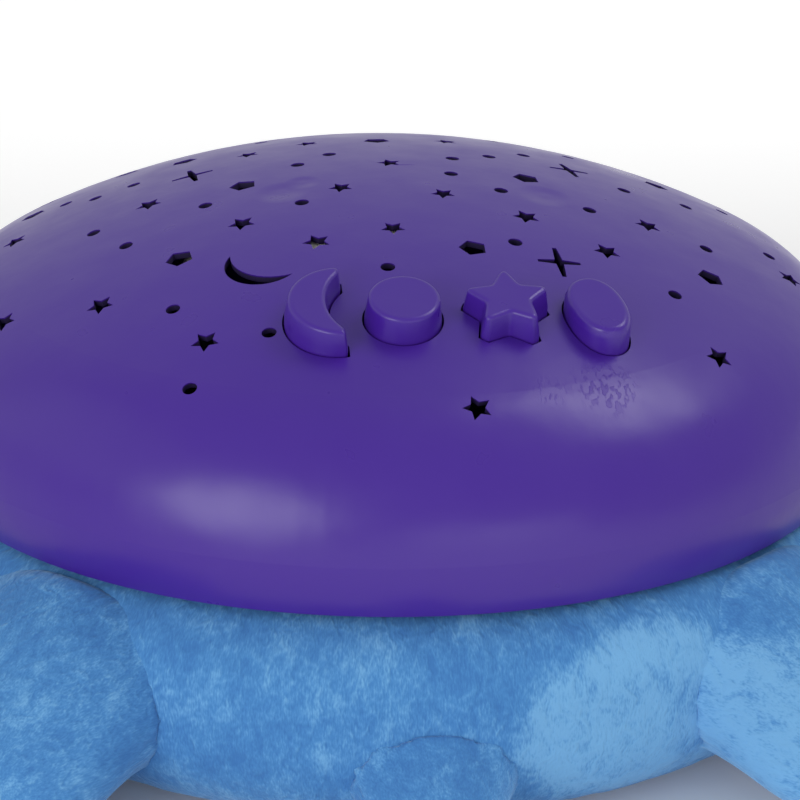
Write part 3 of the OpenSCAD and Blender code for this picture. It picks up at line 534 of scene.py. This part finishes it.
def cloud(points, pitch, seed):
    """Smooth random field, -1 to 1: random values on a cubic lattice of that pitch, blended between the
    eight nearest corners by the smoothstep of the distance to each."""
    table = np.random.default_rng(seed).uniform(-1, 1, (32, 32, 32))
    cell = points / pitch
    low = np.floor(cell).astype(int)
    t = cell - low
    t = t * t * (3 - 2 * t)
    total = np.zeros(len(points))
    for corner in np.ndindex(2, 2, 2):
        at = (low + corner) % 32
        weight = np.prod(np.where(corner, t, 1 - t), axis=1)
        total += weight * table[at[:, 0], at[:, 1], at[:, 2]]
    return total


def brush(piece, nap, depth=0.3):
    """Raises the pile: each point moves along its normal by lumps of stuffing and by clumps of pile that
    are drawn out along the lay, but not into the floor. nap, in millimetres, is kept as the attribute
    nap, in metres."""
    mesh = piece.data
    count = len(mesh.vertices)
    points, normals = np.empty(3 * count, np.float32), np.empty(3 * count, np.float32)
    mesh.vertices.foreach_get("co", points)
    mesh.vertices.foreach_get("normal", normals)
    drawn = nap * [1, 0.4, 1]
    height = 0.25 * cloud(drawn, 1.8, 1) + 0.35 * cloud(drawn, 3.4, 2) + 0.6 * cloud(nap, 12, 3)
    points = points.reshape(-1, 3) + normals.reshape(-1, 3) * (0.001 * depth * height)[:, None]
    points[:, 2] = np.maximum(points[:, 2], FLOOR_GAP)
    mesh.vertices.foreach_set("co", points.astype(np.float32).ravel())
    kept = mesh.attributes.new("nap", "FLOAT_VECTOR", "POINT")
    kept.data.foreach_set("vector", (nap / 1000).astype(np.float32).ravel())
    mesh.update()


# Millimetres. A rectangle is its left, right, front and back side.
BODY_RADIUS = 105.5
BODY_TOP = 45.7
TOP_ARC = 17.0
FOOT_ARC = 24.0
POCKET_RADIUS = 62.4
POCKET_FLOOR = 12.7
RECESS_TOP = 6.6
RECESS = (-31.3, 31.3, -62.3, 40.6)
WINDOW = (-26.0, 26.0, -51.0, 30.45)


def rectangle_reach(angle, rectangle):
    """How far a ray from the axis, at an angle from +X, runs to the side of a rectangle around it."""
    left, right, front, back = rectangle
    c, s = np.cos(angle), np.sin(angle)
    across = np.where(c > 0, right, left) / np.where(np.abs(c) < 1e-9, 1e-9, c)
    along = np.where(s > 0, back, front) / np.where(np.abs(s) < 1e-9, 1e-9, s)
    return np.minimum(np.abs(across), np.abs(along))


def body_grid(columns, step):
    """The ring's skin. Each column is one section of it, at an angle round the axis: up the pocket's
    wall, over the top arc, down the side and round the foot arc, then in under the belly and up through
    the recess and the window. A row is a point that is a fixed share of the way along its stretch. The
    nap goes with it: the way round on a circle of 100, and the way along the section."""
    angle = np.linspace(np.pi / 2, 2.5 * np.pi, columns, endpoint=False)
    full = np.ones(columns)
    recess, window = rectangle_reach(angle, RECESS), rectangle_reach(angle, WINDOW)
    top_r, foot_r = BODY_RADIUS - TOP_ARC, BODY_RADIUS - FOOT_ARC
    top_z = BODY_TOP - TOP_ARC
    rows = []

    def line(r0, z0, r1, z1, pitch=step):
        span = np.hypot(np.mean(r1) - np.mean(r0), z1 - z0)
        for t in np.linspace(0, 1, max(2, round(span / pitch)), endpoint=False):
            rows.append((r0 + (r1 - r0) * t, full * (z0 + (z1 - z0) * t)))

    def bend(r, z, radius, start, stop):
        for a in np.linspace(start, stop, round(abs(stop - start) * radius / step), endpoint=False):
            rows.append((full * (r + radius * math.cos(a)), full * (z + radius * math.sin(a))))

    line(full * POCKET_RADIUS, POCKET_FLOOR, full * POCKET_RADIUS, BODY_TOP, 4)
    line(full * POCKET_RADIUS, BODY_TOP, full * top_r, BODY_TOP, 2)
    bend(top_r, top_z, TOP_ARC, math.pi / 2, 0)
    line(full * BODY_RADIUS, top_z, full * BODY_RADIUS, FOOT_ARC)
    bend(foot_r, FOOT_ARC, FOOT_ARC, 0, -math.pi / 2)
    line(full * foot_r, 0, recess, 0, 2)
    line(recess, 0, recess, RECESS_TOP, 2)
    line(recess, RECESS_TOP, window, RECESS_TOP, 2)
    line(window, RECESS_TOP, window, POCKET_FLOOR, 2)
    line(window, POCKET_FLOOR, full * POCKET_RADIUS, POCKET_FLOOR, 4)
    r = np.array([row[0] for row in rows])
    z = np.array([row[1] for row in rows])
    way = np.hypot(np.diff(r, axis=0, prepend=r[:1]), np.diff(z, axis=0, prepend=z[:1])).cumsum(0)
    nap = np.stack([np.broadcast_to(100 * angle, r.shape), way, 0 * r], 2)
    return np.stack([r * np.cos(angle), r * np.sin(angle), z], 2), nap.reshape(-1, 3)


def ring_faces(rows, columns):
    """Quads over a grid that closes on itself both ways."""
    i, j = np.meshgrid(np.arange(rows), np.arange(columns), indexing="ij")
    i2, j2 = (i + 1) % rows, (j + 1) % columns
    quads = np.stack([i * columns + j, i2 * columns + j, i2 * columns + j2, i * columns + j2], 2)
    return quads.reshape(-1, 4)


plush = velboa("blue_velboa")
grid, ring_nap = body_grid(columns=720, step=0.95)
plush_ring = mesh_piece(
    "plush_ring", grid.reshape(-1, 3) / 1000, ring_faces(*grid.shape[:2]).tolist(), plush, "body"
)
brush(plush_ring, ring_nap)
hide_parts("plush_body")


# ---- Plush limbs and head ----
# Stuffed pads of the same velboa, sewn to the ring's side: a head, four flippers and a tail. Each is
# a smooth closed bag over balls of stuffing, pressed flat where it meets the ring.

# The shell's edge curls in under its rim with TUCK_RADIUS, in millimetres. LIMB_MESH_SIZE is in metres.
TUCK_RADIUS = 22.5
LIMB_MESH_SIZE = 0.0011


def bag_faces(rows, columns):
    """Faces over a stack of closed rings: quads between them, and on each end a fan to a pole. The poles
    are the two points after the rings."""
    i, j = np.meshgrid(np.arange(rows - 1), np.arange(columns), indexing="ij")
    j2 = (j + 1) % columns
    quads = np.stack([i * columns + j, i * columns + j2, (i + 1) * columns + j2, (i + 1) * columns + j], 2)
    k = np.arange(columns)
    k2 = (k + 1) % columns
    pole, top = rows * columns, (rows - 1) * columns
    faces = quads.reshape(-1, 4).tolist()
    faces += np.stack([np.full(columns, pole), k2, k], 1).tolist()
    faces += np.stack([np.full(columns, pole + 1), top + k, top + k2], 1).tolist()
    return faces


def bag(balls, rows=48, columns=72, blend=0.9):
    """A smooth skin round several ellipsoids. For each direction n, every ellipsoid has a point that
    lies furthest along n: centre + size^2 n / |size n|. The skin is the mean of those points, weighted
    by exp(blend * how far each lies along n), so it takes the outermost one and eases between them."""
    u = (np.arange(rows) + 0.5) / rows * np.pi
    v = np.arange(columns) / columns * 2 * np.pi
    u, v = np.meshgrid(u, v, indexing="ij")
    n = np.stack([np.sin(u) * np.cos(v), -np.cos(u), np.sin(u) * np.sin(v)], 2).reshape(-1, 3)
    n = np.concatenate([n, [[0, -1, 0], [0, 1, 0]]])
    tips, reach = [], []
    for centre, size in balls:
        centre, size = np.array(centre, float), np.array(size, float)
        length = np.linalg.norm(n * size, axis=1, keepdims=True)
        tips.append(centre + size**2 * n / length)
        reach.append(n @ centre + length[:, 0])
    reach = np.array(reach)
    weight = np.exp(blend * (reach - reach.max(0)))
    weight /= weight.sum(0)
    return np.einsum("kn,knc->nc", weight, np.array(tips)), bag_faces(rows, columns)


def press_on_ring(points, sunk=0.6, gap=0.3):
    """Moves what lies inside the ring's side, less sunk, out to it. In the section the side is the
    distance to the segment between the two arcs' centres, less an arc radius that runs from one to the
    other; a point moves along the line from that segment. What would rise into the shell's tucked edge
    is pressed down to it, less gap."""
    r = np.hypot(points[:, 0], points[:, 1])
    z = points[:, 2]
    top = np.array([BODY_RADIUS - TOP_ARC, BODY_TOP - TOP_ARC])
    foot = np.array([BODY_RADIUS - FOOT_ARC, FOOT_ARC])
    t = np.clip((z - foot[1]) / (top[1] - foot[1]), 0, 1)
    centre_r = foot[0] + (top[0] - foot[0]) * t
    centre_z = foot[1] + (top[1] - foot[1]) * t
    radius = FOOT_ARC + (TOP_ARC - FOOT_ARC) * t - sunk
    dr, dz = r - centre_r, z - centre_z
    length = np.hypot(dr, dz) + 1e-9
    inside = (length < radius) | (r < centre_r)
    dr = np.where(r < centre_r, 0.02, dr)
    length = np.hypot(dr, dz) + 1e-9
    r2 = np.where(inside, centre_r + dr * radius / length, r)
    z2 = np.where(inside, centre_z + dz * radius / length, z)
    from_tuck = r2 - (SHELL_RADIUS - TUCK_RADIUS)
    tuck = RIM_HEIGHT - np.sqrt(np.maximum((TUCK_RADIUS + gap) ** 2 - from_tuck**2, 0))
    z2 = np.where(r2 < SHELL_RADIUS + gap, np.minimum(z2, tuck), z2)
    scale = r2 / np.maximum(r, 1e-6)
    return np.column_stack([points[:, 0] * scale, points[:, 1] * scale, z2])


def even_mesh(piece, size):
    """Replaces the piece's mesh with an even one of quads about size metres wide."""
    even = piece.modifiers.new("even", "REMESH")
    even.mode = "VOXEL"
    even.voxel_size = size
    even.use_smooth_shade = True
    ease = piece.modifiers.new("ease", "SMOOTH")
    ease.iterations = 6
    graph = bpy.context.evaluated_depsgraph_get()
    done = bpy.data.meshes.new_from_object(piece.evaluated_get(graph))
    piece.modifiers.clear()
    piece.data = done


def limb(name, balls, bearing, replaced):
    """A stuffed pad: the bag is made with its length along +Y, and turned about the axis to its bearing,
    which is 0 at -Y and grows towards +X. The pile lies along its length."""
    points, faces = bag(balls)
    a = math.radians(bearing) + math.pi
    c, s = math.cos(a), math.sin(a)
    turn = np.array([[c, s, 0], [-s, c, 0], [0, 0, 1]])
    piece = mesh_piece(name, press_on_ring(points @ turn) / 1000, faces, plush, "body")
    even_mesh(piece, LIMB_MESH_SIZE)
    even_points = np.empty(3 * len(piece.data.vertices), np.float32)
    piece.data.vertices.foreach_get("co", even_points)
    brush(piece, 1000 * even_points.reshape(-1, 3) @ turn.T)
    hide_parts(replaced)
    return piece


def flipper_balls(side, reach, root, breadth, turn_back):
    """Three ellipsoids along +Y: a thick root, a broad middle, and a thin tip that is turned back."""
    middle = (BODY_RADIUS + reach) / 2
    return [
        root,
        ((side * turn_back / 3, middle, 15), (breadth, 17, 14)),
        ((side * turn_back, reach - 13, 10), (0.66 * breadth, 13, 9)),
    ]


for side, hand in ((-1, "left"), (1, "right")):
    front = flipper_balls(side, 152, ((0, 95.5, 20), (19.5, 14, 17)), 23, 13)
    rear = flipper_balls(side, 138, ((-side * 3, 97, 26), (27, 15, 19)), 24, -5)
    limb(hand + "_front_pad", front, side * 124, hand + "_front_flipper")
    limb(hand + "_rear_pad", rear, side * 42, hand + "_rear_flipper")

tail_balls = [((0, 95.5, 16), (17, 14, 13)), ((0, 120.5, 8.5), (9, 9, 7.5))]
limb("tail_pad", tail_balls, 0, "tail")

head_balls = [
    ((0, 95.5, 26), (17.4, 17.4, 17.4)),
    ((0, 127, 39), (29.7, 28, 26.9)),
    ((0, 145, 34), (19, 19, 19)),
]
limb("head_pad", head_balls, 180, "plush_head")

# Two domed safety eyes of glossy black plastic, pressed through the cloth and held by washers inside.
eye = Finish("eye_plastic")
dress("eyes", eye.close({
    "Base Color": (0.008, 0.008, 0.01, 1),
    "Roughness": 0.06 + 0.05 * eye.noise(0.003),
    "Coat Weight": 0.5,
    "Normal": eye.bump(eye.noise(0.004), 0.00002),
}))


# ---- Belly flap ----
# A padded flap of the same cloth that covers the battery door. It is sewn along its back edge, and
# a strip of hook-and-loop tape closes its front.

FLAP = (-31.0, 31.0, -62.0, 40.3)
FLAP_THICKNESS = 5.0
FLAP_FLAT_SHARE = 0.86
FLAP_CORNER_POWER = 12.0


def flap_cushion(rings, columns):
    """A flat cushion: a rectangle with rounded corners, shrunk towards its middle row by row, carried
    from the middle of the underside over a half-round edge to the middle of the top."""
    left, right, front, back = FLAP
    angle = np.linspace(0, 2 * np.pi, columns, endpoint=False)
    middle = np.array([(left + right) / 2, (front + back) / 2])
    half = np.array([(right - left) / 2, (back - front) / 2])
    c, s = np.cos(angle), np.sin(angle)
    power = FLAP_CORNER_POWER
    reach = (np.abs(c / half[0]) ** power + np.abs(s / half[1]) ** power) ** (-1 / power)
    t = np.linspace(0, 1, rings)
    edge = FLAP_THICKNESS / 2
    flat = np.minimum(1, t / FLAP_FLAT_SHARE)
    turn = np.clip((t - FLAP_FLAT_SHARE) / (1 - FLAP_FLAT_SHARE), 0, 1) * np.pi / 2
    inset = edge * (1 - np.sin(turn))
    drop = edge * np.cos(turn)
    r = (reach - edge) * flat[:, None] + ((edge - inset) * (t > FLAP_FLAT_SHARE))[:, None]
    under = np.stack([
        middle[0] + r * c, middle[1] + r * s, np.broadcast_to((edge - drop)[:, None], r.shape)
    ], 2)
    over = under[::-1][1:].copy()
    over[:, :, 2] = 2 * edge - over[:, :, 2]
    skin = np.concatenate([under[1:], over[:-1]])
    poles = [[*middle, 0], [*middle, FLAP_THICKNESS]]
    return np.concatenate([skin.reshape(-1, 3), poles]), bag_faces(len(skin), columns)


flap_points, flap_faces = flap_cushion(rings=60, columns=300)
flap = mesh_piece("belly_flap_pad", flap_points / 1000, flap_faces, plush, "flap")
brush(flap, flap_points, 0.15)
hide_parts("belly_flap")

tape = Finish("hook_and_loop_tape")
hooks = tape.node("TexVoronoi", {}, {"Vector": tape.place, "Scale": 1400.0})
tape_nylon = tape.close({
    "Base Color": tape.blend(hooks, (0.012, 0.012, 0.014, 1), (0.05, 0.05, 0.055, 1)),
    "Roughness": 0.8,
    "Normal": tape.bump(hooks, 0.0003),
})
for name in ("hook_strip", "loop_strip"):
    dress(name, tape_nylon)


# ---- Studio ----
# A pale floor in a grey room. A broad soft box hangs high on the right, another stands low on the left
# beside the camera, and a low strip stands in front. A card stands behind, a paler one on the left.

# Metres and degrees, but millimetres for the lens and the sensor. The camera looks at the middle of
# the shell's rim, moved by VIEW_SHIFT to the right and up.
SHELL_FRONT = (0, -0.08, 0.08)
ROOM_BRIGHTNESS = 0.52
FLOOR_HALF = 4
FOCAL_LENGTH = 152.1
SENSOR_WIDTH = 36.0
CAMERA_AZIMUTH = -6.0
CAMERA_ELEVATION = 20.15
CAMERA_ROLL = 0.5975
CAMERA_DISTANCE = 0.714
VIEW_SHIFT = (0.003465, -0.00337)


def aim(thing, place, target, across=(1, 0, 0)):
    """Places an object so that its -Z looks from place to target, and its X lies nearest to across."""
    back = (Vector(place) - Vector(target)).normalized()
    right = (Vector(across) - back * back.dot(Vector(across))).normalized()
    up = back.cross(right)
    thing.matrix_world = Matrix.Translation(place) @ Matrix((right, up, back)).transposed().to_4x4()


def soft_box(name, place, width, height, brightness, across=(1, 0, 0), shape="RECTANGLE"):
    """A flat light that faces the shell. Its power gives a brightness that doesn't depend on its size."""
    data = bpy.data.lights.new(name, "AREA")
    data.shape = shape
    data.size, data.size_y = width, height
    data.energy = brightness * math.pi * width * height * (1 if shape == "RECTANGLE" else math.pi / 4)
    aim(set_out(name, data), place, SHELL_FRONT, across)


def backdrop(name, corners, material):
    """A flat board or floor that isn't part of the toy."""
    mesh = bpy.data.meshes.new(name)
    mesh.from_pydata(corners, [], [(0, 1, 2, 3)])
    mesh.materials.append(material)
    set_out(name, mesh)


def card(name, corners, brightness):
    """A dark board that glows with an even brightness."""
    f = Finish(name)
    backdrop(name, corners, f.close({
        "Base Color": f.blend(f.noise(0.5), (0.02, 0.02, 0.02, 1), (0.03, 0.03, 0.03, 1)),
        "Roughness": 0.9,
        "Emission Color": (1, 1, 1, 1),
        "Emission Strength": brightness,
    }))


soft_box(
    "box_right", place=(0.61, 0.0, 0.94), width=0.4, height=0.66, brightness=3.7, across=(0.53, 0.79, -0.29)
)
soft_box(
    "box_left", place=(-0.58, -0.77, 0.255), width=0.66, height=0.52, brightness=3.6,
    across=(0.78, -0.58, -0.12), shape="ELLIPSE",
)
soft_box("box_front", place=(0.3, -0.95, 0.07), width=0.6, height=0.16, brightness=1.5)
card("card_back", [(-2.5, 1.7, 0), (2.5, 1.7, 0), (2.5, 1.7, 2.8), (-2.5, 1.7, 2.8)], 0.57)
card("card_left", [(-1.6, 0.6, 0.3), (-1.6, -0.6, 0.3), (-1.6, -0.6, 1.7), (-1.6, 0.6, 1.7)], 0.78)

world = bpy.data.worlds.new("room")
bpy.context.scene.world = world
world.use_nodes = True
room = world.node_tree.nodes["Background"]
room.inputs["Color"].default_value = (1, 1, 1, 1)
room.inputs["Strength"].default_value = ROOM_BRIGHTNESS

# The floor's emission is painted light, as a lit table shows: even behind the toy, and a soft
# painted pool of light before its right.
table = Finish("pale_floor")
along = table.node("SeparateXYZ", {}, {0: table.place}, 1)
# Painted pool of light on the floor, before the toy's right.
patch = 1 - table.away((0.14, -0.45, 0)).rise(0.0, 0.5)
glow = 0.45 * along.rise(0.0, 0.5) + 0.6 * patch
floor_corners = [(x * FLOOR_HALF, y * FLOOR_HALF, 0) for x, y in ((-1, -1), (1, -1), (1, 1), (-1, 1))]
backdrop("floor", floor_corners, table.close({
    "Base Color": table.blend(table.noise(0.5), (0.8, 0.8, 0.8, 1), (0.83, 0.83, 0.83, 1)),
    "Roughness": 0.9,
    "Emission Color": table.blend(glow, (0, 0, 0, 1), (1, 1, 1, 1)),
    "Emission Strength": 1.0,
}))

camera_data = bpy.data.cameras.new("camera")
camera_data.lens = FOCAL_LENGTH
camera_data.sensor_width = SENSOR_WIDTH
camera_data.clip_start = 0.01
camera = set_out("camera", camera_data)
azimuth, elevation = math.radians(CAMERA_AZIMUTH), math.radians(CAMERA_ELEVATION)
back = np.array([
    math.sin(azimuth) * math.cos(elevation), -math.cos(azimuth) * math.cos(elevation), math.sin(elevation)
])
right = np.array([math.cos(azimuth), math.sin(azimuth), 0.0])
up = np.cross(back, right)
middle = np.array([0, 0, RIM_HEIGHT / 1000]) + VIEW_SHIFT[0] * right + VIEW_SHIFT[1] * up
aim(camera, tuple(middle + CAMERA_DISTANCE * back), tuple(middle), tuple(right))
camera.matrix_world = camera.matrix_world @ Matrix.Rotation(math.radians(CAMERA_ROLL), 4, "Z")

scene = bpy.context.scene
scene.camera = camera
scene.view_settings.view_transform = "Standard"
scene.view_settings.look = "None"
